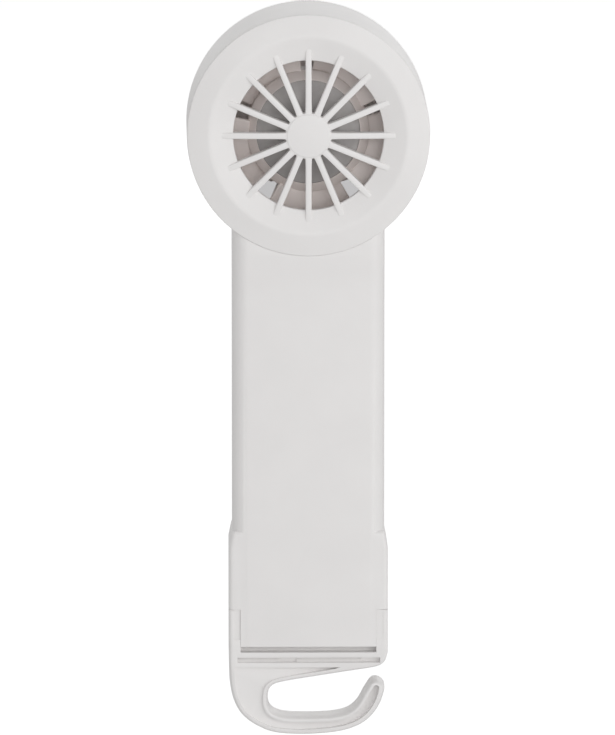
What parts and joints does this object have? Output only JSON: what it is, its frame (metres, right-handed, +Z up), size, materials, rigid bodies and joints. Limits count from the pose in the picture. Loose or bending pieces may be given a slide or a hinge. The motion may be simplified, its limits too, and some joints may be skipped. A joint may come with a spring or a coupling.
{
  "type": "power bank fan",
  "caption": "Handheld fan: round drum head with a spoked intake and caged outlet on a flat battery handle with a button, and a pull-off end cap with a hook that covers the charging socket.",
  "frame": {"origin": "under the middle of the handle, at the level of the hook's lowest point and halfway between the intake face and the outlet face", "axes": "+Z up the handle to the head, -Y out of the intake side that the picture shows, +Y out of the outlet side with the button, +X to the viewer's right from the intake side"},
  "size_m": [0.0606, 0.036, 0.1823],
  "materials": {
    "white_plastic": "fine satin",
    "inner_plastic": "satin",
    "blade_plastic": "satin",
    "dark_steel": "dark plated",
    "bright_steel": "bright",
    "brass": "turned",
    "magnet": "bonded ferrite",
    "lamination": "varnished sheets",
    "enamelled_copper": "enamelled",
    "circuit_board": "solder mask",
    "black_plastic": "moulded",
    "ferrite": "sintered",
    "pouch_foil": "laminated foil",
    "foam": "foam tape",
    "clear_plastic": "milky clear",
    "red_insulation": "extruded",
    "black_insulation": "extruded"
  },
  "bodies": {
    "housing": {"front_shell": "white_plastic", "rear_shell": "white_plastic", "intake_grille": "white_plastic", "outlet_grille": "white_plastic", "duct_housing": "inner_plastic", "bearing_rear": "bright_steel", "bearing_front": "bright_steel", "bearing_tube": "brass", "stator_core": "lamination", "stator_winding": "enamelled_copper", "motor_board": "circuit_board", "duct_screw_1": "bright_steel", "duct_screw_2": "bright_steel", "duct_screw_3": "bright_steel", "battery_cell": "pouch_foil", "battery_pad": "foam", "main_board": "circuit_board", "controller_chip": "black_plastic", "charge_chip": "black_plastic", "inductor": "ferrite", "battery_connector": "clear_plastic", "led_1": "clear_plastic", "led_2": "clear_plastic", "led_3": "clear_plastic", "led_4": "clear_plastic", "light_pipe": "clear_plastic", "usb_c_socket": "bright_steel", "tact_switch": "black_plastic", "board_screw_1": "bright_steel", "board_screw_2": "bright_steel", "board_screw_3": "bright_steel", "board_screw_4": "bright_steel", "battery_wire_red": "red_insulation", "battery_wire_black": "black_insulation", "motor_wire_red": "red_insulation", "motor_wire_black": "black_insulation"},
    "rotor": {"impeller": "blade_plastic", "rotor_can": "dark_steel", "magnet_ring": "magnet", "motor_shaft": "bright_steel"},
    "button": {"power_button": "white_plastic"},
    "cap": {"end_cap": "white_plastic"}
  },
  "joints": [
    {"name": "impeller_spin", "type": "hinge", "parent": "housing", "child": "rotor", "pos_m": [0, 0, 0.152], "axis": [0, 1, 0], "continuous": true},
    {"name": "button_press", "type": "slide", "parent": "housing", "child": "button", "axis": [0, -1, 0], "range_m": [0, 0.0004], "stiffness_N_per_m": 1200, "springref_m": -0.0004},
    {"name": "cap_pull", "type": "slide", "parent": "housing", "child": "cap", "axis": [0, 0, -1], "range_m": [0, 0.025]}
  ]
}
